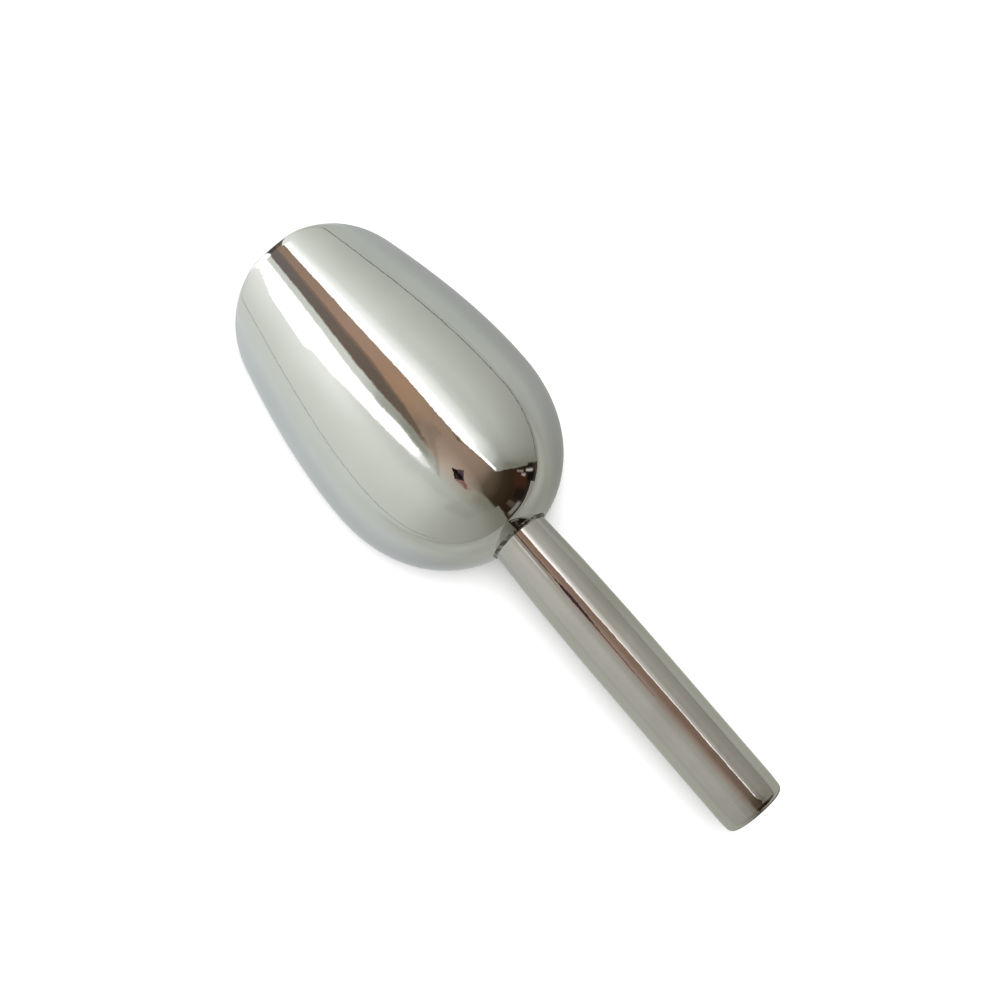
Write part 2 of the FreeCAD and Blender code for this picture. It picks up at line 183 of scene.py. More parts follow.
def make(name, verts, faces, sharp=38.0):
    """A clean smooth-shaded mesh object in the row frame."""
    mesh = bpy.data.meshes.new(name)
    mesh.from_pydata(world(verts).reshape(-1, 3).tolist(), [], faces)
    bm = bmesh.new()
    bm.from_mesh(mesh)
    bmesh.ops.remove_doubles(bm, verts=bm.verts, dist=1.5e-6)
    bmesh.ops.dissolve_degenerate(bm, edges=bm.edges, dist=1e-7)
    bmesh.ops.recalc_face_normals(bm, faces=bm.faces)
    bm.to_mesh(mesh)
    bm.free()
    mesh.shade_smooth()
    mesh.set_sharp_from_angle(angle=math.radians(sharp))
    obj = bpy.data.objects.new(name, mesh)
    bpy.context.scene.collection.objects.link(obj)
    return obj


def strip(rows, cols, wrap):
    """Quads of a grid of rows and columns."""
    last = cols if wrap else cols - 1
    out = []
    for i in range(rows - 1):
        for j in range(last):
            k = (j + 1) % cols
            out.append((i * cols + j, i * cols + k, (i + 1) * cols + k, (i + 1) * cols + j))
    return out


def ease(t):
    t = np.clip(t, 0, 1)
    return t * t * (3 - 2 * t)


# ---------------------------------------------------------------- bowl
def build_bowl():
    fine = (math.pi / 2) * np.linspace(0, 1, 4000) ** 2
    edge = front(mouth_cut(fine, 0), fine)
    run = np.concatenate([[0], np.cumsum(np.linalg.norm(np.diff(edge, axis=0), axis=1))])
    half = int(round(run[-1] / 0.58))
    th = np.interp(np.linspace(0, run[-1], half + 1), run, fine)
    th = np.concatenate([th, math.pi - th[-2::-1]])
    cut_out, cut_in = mouth_cut(th, 0), mouth_cut(th, WALL)
    p_out = front(cut_out, th)
    p_in = front(cut_in, th) - WALL * normal(front, cut_in, th)
    soft_out = 0.62 * ease(p_out[:, 2] / 5.0)  # ground round on the outside
    soft_in = 0.12 * ease(p_out[:, 2] / 5.0)
    across = p_in - p_out
    across /= np.linalg.norm(across, axis=1, keepdims=True)

    t = np.linspace(0, 1, 96)[:, None]
    a = (math.pi / 2) * np.linspace(0, 1, 97)[1:, None]
    tt = np.broadcast_to(th, (96, len(th)))

    def skin(first, offset, soft):
        first = first + 1.2 * soft
        s = first + (BACK_START - first) * t
        f = front(s, tt)
        b = back(np.broadcast_to(a, tt.shape), tt)
        if offset:
            f = f - offset * normal(front, s, tt)
            nb = normal(back, np.broadcast_to(a, tt.shape), tt)
            nb[-1] = [1, 0, 0]
            b = b - offset * nb
        return np.concatenate([f, b])

    outer, inner = skin(cut_out, 0, 3.0 * soft_out), skin(cut_in, WALL, soft_in)
    lip = []
    for start, corner, way, soft in ((outer[0], p_out, 1, soft_out), (inner[0], p_in, -1, soft_in)):
        end = corner + way * across * soft[:, None]
        lip.append(
            [(1 - q) ** 2 * start + 2 * q * (1 - q) * corner + q * q * end for q in np.linspace(0, 1, 9)[1:]]
        )
    edge_rows = lip[0] + lip[1][::-1]  # outer side to inner side
    rows = np.concatenate([outer[::-1], np.array(edge_rows), inner])
    count, cols = rows.shape[0], rows.shape[1]
    faces = strip(count, cols, False)
    for j in (0, cols - 1):  # the rim, flat on the table
        for i in range(count // 2 - 1):
            faces.append(
                (i * cols + j, (i + 1) * cols + j, (count - 2 - i) * cols + j, (count - 1 - i) * cols + j)
            )
    return make("bowl_shell", rows.reshape(-1, 3), faces)


# ---------------------------------------------------------------- handle
KNOTS_S = [60, 104, 109, 113, 119, 124.3, 134, 145, 152, 260]
KNOTS_R = [8.6, 8.72, 8.84, 8.99, 9.3, 9.56, 9.74, 9.93, 10.0, 10.0]
_s = np.arange(60, 260, 0.25)
_r = np.interp(_s, KNOTS_S, KNOTS_R) * TUBE_R / 10.0
_k = np.exp(-0.5 * (np.arange(-60, 61) * 0.25 / 3.2) ** 2)
_r = np.convolve(np.pad(_r, 60, mode="edge"), _k / _k.sum(), mode="valid")


def tube_radius(s):
    return np.interp(s, _s, _r)


def ring_point(s, r, phi):
    return np.stack([s + 0 * phi, r * np.sin(phi), AXIS_Z + r * np.cos(phi)], -1)


def joint_station(phi, extra):
    """Where a line of the neck, or one this much further out, meets the bowl."""
    lo, hi = np.full_like(phi, BACK_START + 5), np.full_like(phi, BOWL_END + 3)
    for _ in range(50):
        mid = (lo + hi) / 2
        p = ring_point(mid, tube_radius(mid) + extra, phi)
        out = inside_back(p[:, 0], p[:, 1], p[:, 2]) > 0
        hi = np.where(out, mid, hi)
        lo = np.where(out, lo, mid)
    return (lo + hi) / 2


def build_tube():
    cols = 176
    phi = 2 * math.pi * np.arange(cols) / cols
    first = joint_station(phi, 0)
    first_in = joint_station(phi, -WALL)
    end = TUBE_END - SEAM
    rows = []
    for q in np.linspace(0, 1, 170):
        s = first + (end - first) * q
        rows.append(ring_point(s, tube_radius(s), phi))
    rows.append(ring_point(np.full(cols, TUBE_END - 0.02), TUBE_R - SEAM + 0.02, phi))
    rows.append(ring_point(np.full(cols, TUBE_END), TUBE_R - SEAM - 0.02, phi))
    rows.append(ring_point(np.full(cols, TUBE_END), TUBE_R - WALL + 0.05, phi))
    rows.append(ring_point(np.full(cols, TUBE_END - 0.05), TUBE_R - WALL, phi))
    for q in np.linspace(0, 1, 40)[1:]:
        s = (TUBE_END - 0.05) + (first_in - (TUBE_END - 0.05)) * q
        rows.append(ring_point(s, tube_radius(s) - WALL, phi))
    rows.append(rows[0])
    return make("handle_tube_skin", np.array(rows).reshape(-1, 3), strip(len(rows), cols, True))


def revolve(name, profile, cols=176, wobble=None):
    """Closed revolved piece about the handle's axis, from (station, radius) pairs."""
    phi = 2 * math.pi * np.arange(cols) / cols
    rows = []
    for i, (s, r) in enumerate(profile):
        extra = wobble(i, phi) if wobble else 0 * phi
        rows.append(ring_point(np.full(cols, s), r + extra, phi))
    return make(name, np.array(rows).reshape(-1, 3), strip(len(rows), cols, True))


def build_cap():
    corner, draft, crown = 2.1, 0.2, 0.4
    sc, rc = LENGTH - crown - corner, TUBE_R - draft - corner
    dome = (rc**2 + (crown + corner) ** 2 - corner**2) / (2 * crown)
    tip = math.asin(rc / (dome - corner))
    prof = [(LENGTH, 0.0)]
    for q in np.linspace(0, 1, 16)[1:-1]:
        g = tip * q
        prof.append((LENGTH - dome + dome * math.cos(g), dome * math.sin(g)))
    for q in np.linspace(0, 1, 22):
        g = tip + (math.pi / 2 - tip) * q
        prof.append((sc + corner * math.cos(g), rc + corner * math.sin(g)))
    start = TUBE_END + SEAM
    for q in np.linspace(0, 1, 10)[1:]:
        # the skirt swells from the corner to the tube's full radius
        s = sc + (start - sc) * q
        prof.append((s, TUBE_R - draft * (1 - q) ** 2))
    prof += [(TUBE_END + 0.02, TUBE_R - SEAM + 0.02), (TUBE_END, TUBE_R - SEAM - 0.02)]
    ri = TUBE_R - WALL - 0.05
    prof += [(TUBE_END, ri + 0.06), (TUBE_END - 0.06, ri)]
    prof += [(TUBE_END - 3.9, ri), (TUBE_END - 4.0, ri - 0.1), (TUBE_END - 4.0, ri - 0.9), (TUBE_END - 3.9, ri - 1.0)]
    si, rr = LENGTH - crown - 1.0 - 2.2, ri - 1.0 - 2.2
    for q in np.linspace(0, 1, 9):
        g = math.pi / 2 * (1 - q)
        prof.append((si + 2.2 * math.cos(g), rr + 2.2 * math.sin(g)))
    prof.append((si + 2.2, 0.0))
    return revolve("handle_cap_cup", prof)


def build_cap_bead():
    c, g = TUBE_END, SEAM
    prof = [(c, TUBE_R - g + 0.01), (c - g + 0.02, TUBE_R - 0.005)]
    prof += [(c + g * q, TUBE_R) for q in np.linspace(-0.8, 0.8, 7)]
    prof += [(c + g - 0.02, TUBE_R - 0.005), (c, TUBE_R - g + 0.01)]

    def wobble(i, phi):
        if not 2 < i < 8:
            return 0 * phi
        return 0.004 * np.sin(23 * phi + i) + 0.003 * np.sin(41 * phi + 2 * i) - 0.007

    return revolve("cap_seam_bead", prof, wobble=wobble)


def build_bowl_bead():
    cols, leg = 352, 0.8
    phi = 2 * math.pi * np.arange(cols) / cols
    root = joint_station(phi, 0)
    # small steps of the weld pool round the neck
    pool = 0.5 + 0.5 * np.sin(46 * phi + 0.9 * np.sin(5 * phi) + 0.6 * np.sin(11 * phi + 1))
    wander = 0.06 * np.sin(7 * phi + 0.4) + 0.05 * np.sin(13 * phi + 2.0)
    on_tube = leg * (0.95 + wander)
    out = leg * (0.92 + 0.07 * np.sin(9 * phi + 1.2) + 0.05 * np.sin(17 * phi))
    a_s = root + on_tube
    a = ring_point(a_s, tube_radius(a_s) - 0.01, phi)
    b_s = joint_station(phi, out)
    b = ring_point(b_s - 0.02, tube_radius(b_s) + out, phi)
    c = ring_point(root, tube_radius(root), phi)
    rows = [c]
    mid = (a + b) / 2
    lift = mid - c
    lift /= np.linalg.norm(lift, axis=1, keepdims=True)
    for q in np.linspace(0, 1, 13):
        swell = 0.10 * math.sin(math.pi * q) + 0.055 * math.sin(math.pi * q) * pool
        rows.append(a + (b - a) * q + lift * np.reshape(swell, (-1, 1)))
    rows.append(c)
    rows = np.array(rows)
    return make("neck_weld_bead", rows.reshape(-1, 3), strip(len(rows), cols, True), sharp=60)


# ---------------------------------------------------------------- materials
def nodes_of(name):
    mat = bpy.data.materials.new(name)
    mat.use_nodes = True
    tree = mat.node_tree
    tree.nodes.clear()
    out = tree.nodes.new("ShaderNodeOutputMaterial")
    return mat, tree, out


def place_coords(tree, scale):
    co = tree.nodes.new("ShaderNodeTexCoord")
    mp = tree.nodes.new("ShaderNodeMapping")
    mp.inputs["Scale"].default_value = scale
    tree.links.new(co.outputs["Object"], mp.inputs["Vector"])
    return mp.outputs["Vector"]


def noise(tree, vector, scale, detail=2.0, rough=0.5, distort=0.0):
    n = tree.nodes.new("ShaderNodeTexNoise")
    n.inputs["Scale"].default_value = scale
    n.inputs["Detail"].default_value = detail
    n.inputs["Roughness"].default_value = rough
    n.inputs["Distortion"].default_value = distort
    tree.links.new(vector, n.inputs["Vector"])
    return n.outputs["Fac"]


def remap(tree, value, a, b, c, d):
    m = tree.nodes.new("ShaderNodeMapRange")
    m.interpolation_type = "SMOOTHSTEP"
    for key, v in zip(("From Min", "From Max", "To Min", "To Max"), (a, b, c, d)):
        m.inputs[key].default_value = v
    tree.links.new(value, m.inputs["Value"])
    return m.outputs["Result"]


def math_node(tree, op, a, b):
    m = tree.nodes.new("ShaderNodeMath")
    m.operation = op
    for i, v in enumerate((a, b)):
        if isinstance(v, (int, float)):
            m.inputs[i].default_value = v
        else:
            tree.links.new(v, m.inputs[i])
    return m.outputs[0]


def mix_colour(tree, fac, a, b):
    m = tree.nodes.new("ShaderNodeMix")
    m.data_type = "RGBA"
    for key, v in (("A", a), ("B", b)):
        sock = [i for i in m.inputs if i.name == key and i.type == "RGBA"][0]
        if isinstance(v, tuple):
            sock.default_value = (*v, 1)
        else:
            tree.links.new(v, sock)
    tree.links.new(fac, m.inputs["Factor"])
    return [o for o in m.outputs if o.type == "RGBA"][0]


def bump(tree, height, distance, below=None):
    b = tree.nodes.new("ShaderNodeBump")
    b.inputs["Strength"].default_value = 1.0
    b.inputs["Distance"].default_value = distance
    tree.links.new(height, b.inputs["Height"])
    if below is not None:
        tree.links.new(below, b.inputs["Normal"])
    return b.outputs["Normal"]


def steel(name, light, dark, rough, grain, swell, ripple, hair, grazing_sheen=None):
    """Polished stainless. grain is the stretch of the polishing lines along x, y, z;
    swell, ripple and hair are the heights in metres of slow waves, orange peel and lines."""
    mat, tree, out = nodes_of(name)
    p = tree.nodes.new("ShaderNodeBsdfPrincipled")
    p.inputs["Metallic"].default_value = 1.0
    flat = place_coords(tree, (1, 1, 1))
    lines = place_coords(tree, grain)
    cloud = noise(tree, flat, 38, 4, 0.55)
    smear = noise(tree, flat, 120, 3, 0.6, 0.4)
    line = noise(tree, lines, 1, 3, 0.6)
    spots = noise(tree, flat, 900, 2, 0.5)
    tint = mix_colour(tree, remap(tree, cloud, 0.35, 0.65, 0, 1), dark, light)
    # dulled smears and handling marks
    r0 = remap(tree, cloud, 0.45, 0.75, rough[0], rough[1])
    r1 = math_node(tree, "ADD", r0, remap(tree, smear, 0.6, 0.8, 0.0, rough[2]))
    r2 = math_node(tree, "ADD", r1, remap(tree, line, 0.55, 0.8, 0.0, rough[3]))
    r3 = math_node(tree, "ADD", r2, remap(tree, spots, 0.68, 0.76, 0.0, 0.05))
    n = bump(tree, noise(tree, flat, 45, 1, 0.4), swell)
    n = bump(tree, noise(tree, flat, 330, 2, 0.5), ripple, n)
    n = bump(tree, line, hair, n)
    # painted sheen: the base colour turns lighter towards grazing angles, brightening the reflections near the edges
    if grazing_sheen:
        face = tree.nodes.new("ShaderNodeLayerWeight")
        face.inputs["Blend"].default_value = 0.5
        tint = mix_colour(tree, remap(tree, face.outputs["Facing"], 0.14, 0.6, 0, 1), tint, grazing_sheen)
    tree.links.new(tint, p.inputs["Base Color"])
    tree.links.new(r3, p.inputs["Roughness"])
    tree.links.new(n, p.inputs["Normal"])
    tree.links.new(p.outputs[0], out.inputs["Surface"])
    return mat


def weld_metal(name):
    mat, tree, out = nodes_of(name)
    p = tree.nodes.new("ShaderNodeBsdfPrincipled")
    p.inputs["Metallic"].default_value = 1.0
    flat = place_coords(tree, (1, 1, 1))
    big = noise(tree, flat, 260, 3, 0.6, 0.5)
    small = noise(tree, flat, 1800, 3, 0.6)
    heat = noise(tree, flat, 90, 2, 0.5)
    c = mix_colour(tree, remap(tree, big, 0.42, 0.66, 0, 1), (0.125, 0.118, 0.11), (0.45, 0.44, 0.42))
    c = mix_colour(tree, remap(tree, heat, 0.5, 0.75, 0, 0.6), c, (0.26, 0.21, 0.17))
    r = remap(tree, small, 0.3, 0.75, 0.10, 0.26)
    n = bump(tree, big, 1.2e-5)
    tree.links.new(c, p.inputs["Base Color"])
    tree.links.new(r, p.inputs["Roughness"])
    tree.links.new(n, p.inputs["Normal"])
    tree.links.new(p.outputs[0], out.inputs["Surface"])
    return mat


def table_sheet(name):
    mat, tree, out = nodes_of(name)
    p = tree.nodes.new("ShaderNodeBsdfPrincipled")
    flat = place_coords(tree, (1, 1, 1))
    cloud = noise(tree, flat, 9, 3, 0.5)
    tooth = noise(tree, flat, 1400, 2, 0.5)
    c = mix_colour(tree, remap(tree, cloud, 0.3, 0.7, 0, 1), (0.905, 0.908, 0.912), (0.925, 0.926, 0.928))
    n = bump(tree, tooth, 1.2e-5)
    p.inputs["Roughness"].default_value = 0.85
    p.inputs["Specular IOR Level"].default_value = 0.15
    tree.links.new(c, p.inputs["Base Color"])
    tree.links.new(n, p.inputs["Normal"])
    tree.links.new(p.outputs[0], out.inputs["Surface"])
    return mat


BOWL_F0 = 0.64
bowl_steel = steel(
    "bowl_polished_steel",
    (0.655, 0.65, 0.635),
    (0.625, 0.625, 0.615),
    (0.018, 0.035, 0.03, 0.012),
    (60, 900, 900),
    6e-5,
    1.7e-5,
    3e-7,
)
handle_steel = steel(
    "handle_polished_steel",
    (0.522, 0.482, 0.472),
    (0.474, 0.436, 0.425),
    (0.05, 0.075, 0.04, 0.03),
    (1500, 70, 70),
    4e-5,
    2.8e-5,
    6e-7,
    # lighter colour of the painted sheen towards grazing angles
    (0.655, 0.635, 0.62),
)
weld_steel = weld_metal("neck_weld_steel")

pieces = [
    (build_bowl(), "bowl", "bowl_steel", bowl_steel),
    (build_tube(), "handle_tube", "handle_steel", handle_steel),
    (build_cap(), "handle_end_cap", "handle_steel", handle_steel),
    (build_cap_bead(), "cap_weld_bead", "handle_steel", handle_steel),
    (build_bowl_bead(), "bowl_weld_bead", "weld_steel", weld_steel),
]
for obj, node, slot, mat in pieces:
    obj.data.materials.append(mat)
    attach(obj, "root")
    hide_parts(node)


# ---------------------------------------------------------------- floor
def plain(name, verts, faces):
    mesh = bpy.data.meshes.new(name)
    mesh.from_pydata(verts, [], faces)
    obj = bpy.data.objects.new(name, mesh)
    bpy.context.scene.collection.objects.link(obj)
    return obj


F = 4.0
floor = plain(
    "table_sheet",
    [(-F, -F, -6e-5), (F, -F, -6e-5), (F, F, -6e-5), (-F, F, -6e-5)],
    [(0, 1, 2, 3)],
)
floor.data.materials.append(table_sheet("pale_table_sheet"))


# ---------------------------------------------------------------- light tent
# Tones are written as they look in the polished bowl, on a 0 to 255 scale.
def tone(c):
    c = np.asarray(c, float) / 255.0
    lin = np.where(c <= 0.04045, c / 12.92, ((c + 0.055) / 1.055) ** 2.4)
    return lin / BOWL_F0


def cover(px, py, poly, soft):
    """1 inside a polygon, 0 outside, with an edge this soft."""
    poly = np.asarray(poly, float)
    inside = np.zeros(px.shape, bool)
    dist = np.full(px.shape, 1e9)
    for (ax, ay), (bx, by) in zip(poly, np.roll(poly, -1, axis=0)):
        crosses = ((ay > py) != (by > py)) & (px < (bx - ax) * (py - ay) / ((by - ay) or 1e-9) + ax)
        inside ^= crosses
        vx, vy = bx - ax, by - ay
        q = np.clip(((px - ax) * vx + (py - ay) * vy) / (vx * vx + vy * vy + 1e-9), 0, 1)
        dist = np.minimum(dist, np.hypot(px - ax - q * vx, py - ay - q * vy))
    d = np.where(inside, dist, -dist)
    return ease(d / (2 * soft) + 0.5)


def lay(colour, mask, c):
    c = np.asarray(c, float)
    return colour * (1 - mask[..., None]) + c * mask[..., None]


CEILING = 540.0
EYE = (85.0, 0.0, 20.0)
WHITE = np.array([2.1, 2.1, 2.08])

slot_edge = [
    (-800, 215), (-520, 190), (-400, 168), (-350, 160), (-300, 154), (-200, 150), (-100, 151),
    (-50, 147), (0, 143), (50, 151), (100, 168), (150, 189), (200, 205), (250, 221), (300, 236), (345, 252),
    (385, 312), (448, 405), (531, 520), (545, 540),
]
fold_top = [(-800, 110), (-560, 78), (-400, 40), (-300, 22), (-200, 18), (-100, -8), (-50, -20), (0, -46), (34, -76)]
fold_low = [(42, -100), (0, -86), (-50, -88), (-100, -100), (-200, -104), (-300, -92), (-400, -80), (-560, -66), (-800, -40)]
lamp = [
    (-900, -158), (-500, -158), (-400, -160), (-300, -174), (-200, -184), (-100, -178), (-50, -162), (0, -161),
    (44, -176), (70, -192), (74, -206), (56, -226), (30, -246), (0, -264), (-50, -284), (-100, -303),
    (-150, -322), (-200, -346), (-250, -380), (-300, -408), (-380, -446), (-430, -520), (-900, -520),
]


def shade(g):
    """Tent cloth of one grey: cool where it is bright, warmer where it is dim."""
    g = np.asarray(g, float)
    k = np.clip((g - 120) / 60, 0, 1)
    return np.stack([g - 1.5 * k, g + 2.5 * k - 0.5, g - 11 + 5 * k + 5 * np.clip((g - 205) / 30, 0, 1)], -1)


def along(x, stops, values):
    """Colours given at stops, blended between them."""
    v = np.asarray(values, float)
    return np.stack([np.interp(x, stops, v[:, i]) for i in range(3)], -1)


def paint(s, y, z):
    """Tent colour at points given by station, y and z."""
    dx, dy, dz = s - EYE[0], y - EYE[1], z - EYE[2]
    az = np.degrees(np.arctan2(dy, dx))
    flat = np.hypot(dx, dy)
    el = np.degrees(np.arctan2(dz, flat))
    top = z > CEILING - 1
    sheet = z < 1
    wall = ~top & ~sheet

    # walls, by direction, low down and high up
    turn = [-180, -158, -142, -127, -112, -97, -82, -67, -52, -37, -22, -7, 0, 54, 60, 67, 82, 97, 112, 127, 142, 158, 180]
    low = [240, 232, 206, 198, 196, 193, 183, 167, 155, 149, 138, 117, 112, 112, 128, 138, 148, 160, 166, 173, 182, 205, 236]
    high = [242, 240, 233, 226, 208, 201, 190, 174, 160, 150, 142, 120, 112, 112, 140, 153, 172, 184, 189, 197, 210, 228, 238]
    k = np.clip(el / 38, 0, 1) ** 1.4
    grey = np.interp(az, turn, low) * (1 - k) + np.interp(az, turn, high) * k
    look = shade(grey)

    # floor sheet, seen only in reflection: paler on one side, with painted shadow towards the object and under the
    # handle
    one = np.interp(s, [-60, 0, 40, 80, 100, 120, 140, 160, 200, 240, 880], [171, 170, 168, 162, 158, 154, 151, 155, 158, 150, 118])
    two = np.interp(s, [-60, 0, 40, 80, 100, 120, 140, 160, 180, 200, 240, 880], [196, 194, 190, 182, 177, 172, 166, 164, 163, 160, 155, 120])
    over = ease((y + 25) / 50)
    g = two * (1 - over) + one * over
    # painted contact shadow on the sheet beside the bowl
    reach = np.clip((np.abs(y) - 30) / np.where(y > 0, 60, 38), 0, 1)
    beside = np.interp(s, [-10, 20, 60, 105, 125], [0, 0.7, 1, 1, 0.45])
    g = g - np.where(y > 0, 30, 24) * (1 - reach) ** 1.5 * beside
    # painted light on the sheet ahead of the lip
    ahead = ease((-4 - s) / 30) * ease((70 - np.abs(y)) / 40) * ease((140 + s) / 60)
    g = g + (232 - g) * ahead
    g = g + 4 * ease((s - 130) / 30)
    # painted shade: a dark patch on the sheet past the end of the handle
    end = ease((s - 209) / 6) * ease((y + 17) / 14) * ease((21 - y) / 12) * ease((420 - s) / 160)
    g = g * (1 - 0.62 * end)
    f = shade(g)
    f[..., 1] += 1.5 * ease((130 - s) / 40)
    f[..., 2] += (3 + 9 * np.clip(1 - (np.abs(y) - 30) / 80, 0, 1) * np.where(y > 0, 0.6, 1.0)) * ease((130 - s) / 40)
    look = np.where(sheet[..., None], f, look)

    # ceiling beyond the bright side of the slot, and beyond the second lamp
    far = np.interp(
        s,
        [-560, -300, -100, 0, 50, 100, 150, 200, 250, 300, 350, 400, 500, 880],
        [206, 212, 207, 204, 198, 189, 180, 173, 162, 152, 141, 130, 120, 112],
    )
    edge_y = np.interp(s, [p[0] for p in slot_edge], [p[1] for p in slot_edge])
    up = y - edge_y
    reach_0 = np.interp(s, [0, 50, 100, 150, 200], [85, 80, 58, 0, -10])
    reach_1 = np.interp(s, [0, 50, 100, 150, 200, 300], [240, 212, 205, 225, 230, 200])
    strength = np.interp(s, [100, 150, 200, 250, 300], [1.0, 0.86, 0.5, 0.42, 0.0])
    narrow = ease((38 - up) / 26) * ease((346 - s) / 40)
    wide = strength * np.clip((reach_1 - up) / (reach_1 - reach_0), 0, 1)
    g = far + (253 - far) * np.maximum(wide, narrow)
    beyond = np.interp(
        s,
        [-560, -400, -300, -250, -200, -150, -100, -50, 0, 50, 100, 150, 200, 250, 300, 350, 400, 500, 620, 880],
        [240, 236, 231, 222, 213, 206, 201, 198, 193, 186, 180, 174, 170, 167, 162, 155, 152, 147, 138, 118],
    )
    below = ease(-up / 10 + 0.5)
    pale = 10 * ease((-290 - y) / 110) * ease((s - 30) / 60) * ease((340 - s) / 80)
    c = shade(g * (1 - below) + (beyond + pale) * below)
    # run into the walls without a seam
    join = np.maximum(ease((np.abs(y) - 300) / 215), np.maximum(ease((s - 520) / 350), ease((-400 - s) / 155)))
    join = np.maximum(join * (1 - np.maximum(wide, narrow) * (up > 0)), 0)[..., None]
    c = c * (1 - join) + shade(grey) * join
    look = np.where(top[..., None], c, look)
    col = tone(look)
    hot = np.maximum(narrow, ease((reach_0 + 14 - up) / 28)) * ease(up / 9 + 0.35) * ease((360 - s) / 30) * top
    col = lay(col, hot, WHITE * np.array([1.0, 0.99, 0.975]))

    # second lamp, with the grey strip above it
    strip_grey = np.interp(s, [-560, -400, -250, -180, -140, -100, -50, 0, 40, 70], [206, 201, 204, 200, 184, 160, 149, 134, 140, 165])
    strip_mask = cover(s, y, [(-900, -40), (0, -60), (60, -96), (96, -190), (60, -215), (-200, -225), (-900, -215)], 8.0) * top
    col = lay(col, strip_mask, tone(shade(strip_grey)))
    col = lay(col, 0.6 * cover(s, y, lamp, 34.0) * top, tone((238, 241, 239)))
    col = lay(col, cover(s, y, lamp, 9.0) * top * (1 - 0.8 * ease((s - 12) / 34)), WHITE)
    streak = ease(1.2 - np.abs(y + 236 + 0.16 * (s + 60)) / 8) * ease((s + 190) / 60) * ease((34 - s) / 30) * top
    col = lay(col, 0.75 * streak, tone((232, 237, 236)))

    # slot, with the warm room above it
    above = along(
        s,
        [-560, -400, -300, -200, -100, -50, 0, 50, 100, 150, 200, 250, 300, 350, 400, 450, 600, 880],
        [
            (134, 115, 101), (147, 123, 106), (154, 128, 112), (155, 128, 109), (158, 127, 104), (155, 128, 104),
            (147, 123, 105), (143, 121, 105), (144, 122, 107), (140, 120, 104), (135, 115, 99), (125, 109, 95),
            (107, 94, 83), (88, 76, 64), (79, 67, 55), (62, 52, 42), (50, 42, 30), (45, 36, 26),
        ],
    )
    middle = along(
        s,
        [-60, 0, 50, 100, 150, 200, 250, 300, 350, 400, 450, 640, 880],
        [
            (146, 119, 98), (124, 106, 93), (158, 142, 125), (170, 155, 141), (165, 151, 139), (158, 146, 136), (155, 143, 131),
            (146, 137, 125), (141, 137, 125), (129, 126, 115), (122, 117, 105), (115, 114, 103), (105, 100, 90),
        ],
    )
    hi = np.interp(s, [250, 350, 450], [60, 42, 24])
    lo = np.interp(s, [250, 350, 450], [-75, -48, -12])
    a = np.clip((hi - y) / (hi - lo), 0, 1)[..., None]
    b = np.clip((-75 - y) / 155, 0, 1)[..., None]
    inner = (above * (1 - a) + middle * a) * (1 - b) + c * b
    dim = (ease((s - 500) / 370) * ease((20 - y) / 60))[..., None]
    inner = inner * (1 - dim) + shade(grey) * dim
    inner = tone(inner)
    under = [(px, py - 34) for px, py in fold_top[::-1]]
    room = slot_edge + [(900, 540), (900, -700), (112, -700), (112, -198), (84, -150), (60, -112)] + under
    m = np.minimum(cover(s, y, room, 12.0), ease(-up / 8.0 + 0.5)) * top
    col = col * (1 - m[..., None]) + inner * m[..., None]
    # dark fold
    soft = np.interp(s, [-560, -250, -120, -40], [26, 26, 18, 10])
    top_y = np.interp(s, [p[0] for p in fold_top], [p[1] for p in fold_top])
    low_y = np.interp(s, [p[0] for p in fold_low[::-1]], [p[1] for p in fold_low[::-1]])
    fold = ease((top_y - y) / (2 * soft) + 0.5) * ease((y - low_y) / 22 + 0.5) * ease((46 - s) / 30) * top
    col = lay(col, fold, tone(along(s, [-560, -300, -100, 0], [(107, 103, 100), (106, 94, 86), (99, 87, 77), (100, 87, 76)])))
    seam = ease(1 - np.abs(top_y + 4 - y) / 7) * ease((-30 - s) / 60) * top
    col = lay(col, 0.5 * seam, tone((88, 74, 64)))
    line = ease(1 - np.abs(edge_y - 5 - y) / 7) * ease((350 - s) / 20) * top
    line *= (0.45 + 0.2 * ease((s - 10) / 60)) + 0.28 * np.sin(s / 11.0) * np.sin(s / 4.3)
    col = lay(col, line, tone((88, 72, 62)))
    spot = ease(1.2 - np.hypot((s - 64) / 20, (y - 137) / 8)) * top
    col = lay(col, 0.8 * spot, tone((52, 40, 34)))
    # crease at the end of the slot
    crease = cover(s, y, [(20, 60), (34, 62), (34, 0), (52, -60), (84, -130), (120, -196), (106, -196), (66, -126), (34, -62), (14, 0)], 9.0)
    col = lay(col, 0.5 * crease * top, tone((118, 104, 92)))
    # the second lamp carries on down the end wall
    bay = ease((-153 - az + 3 * np.sin(el / 4.0)) / 3) * ease((el - 6) / 6) * wall
    col = lay(col, bay, WHITE)
    # the slot runs down the far end wall
    tail = ease((s + 555) / -4) * ease((y + 66) / 20) * ease((170 - y) / 20) * wall * ease((z - 20) / 60)
    drop = np.clip((CEILING - z) / 420, 0, 1)
    warm = ease((y - 60) / 16 + 0.5)[..., None]
    ends = tone(along(drop, [0, 0.3, 1], [(110, 97, 90), (84, 72, 65), (58, 50, 45)])) * (1 - warm)
    ends = ends + tone(along(drop, [0, 0.3, 1], [(134, 115, 101), (104, 88, 76), (60, 51, 45)])) * warm
    col = col * (1 - tail[..., None]) + ends * tail[..., None]

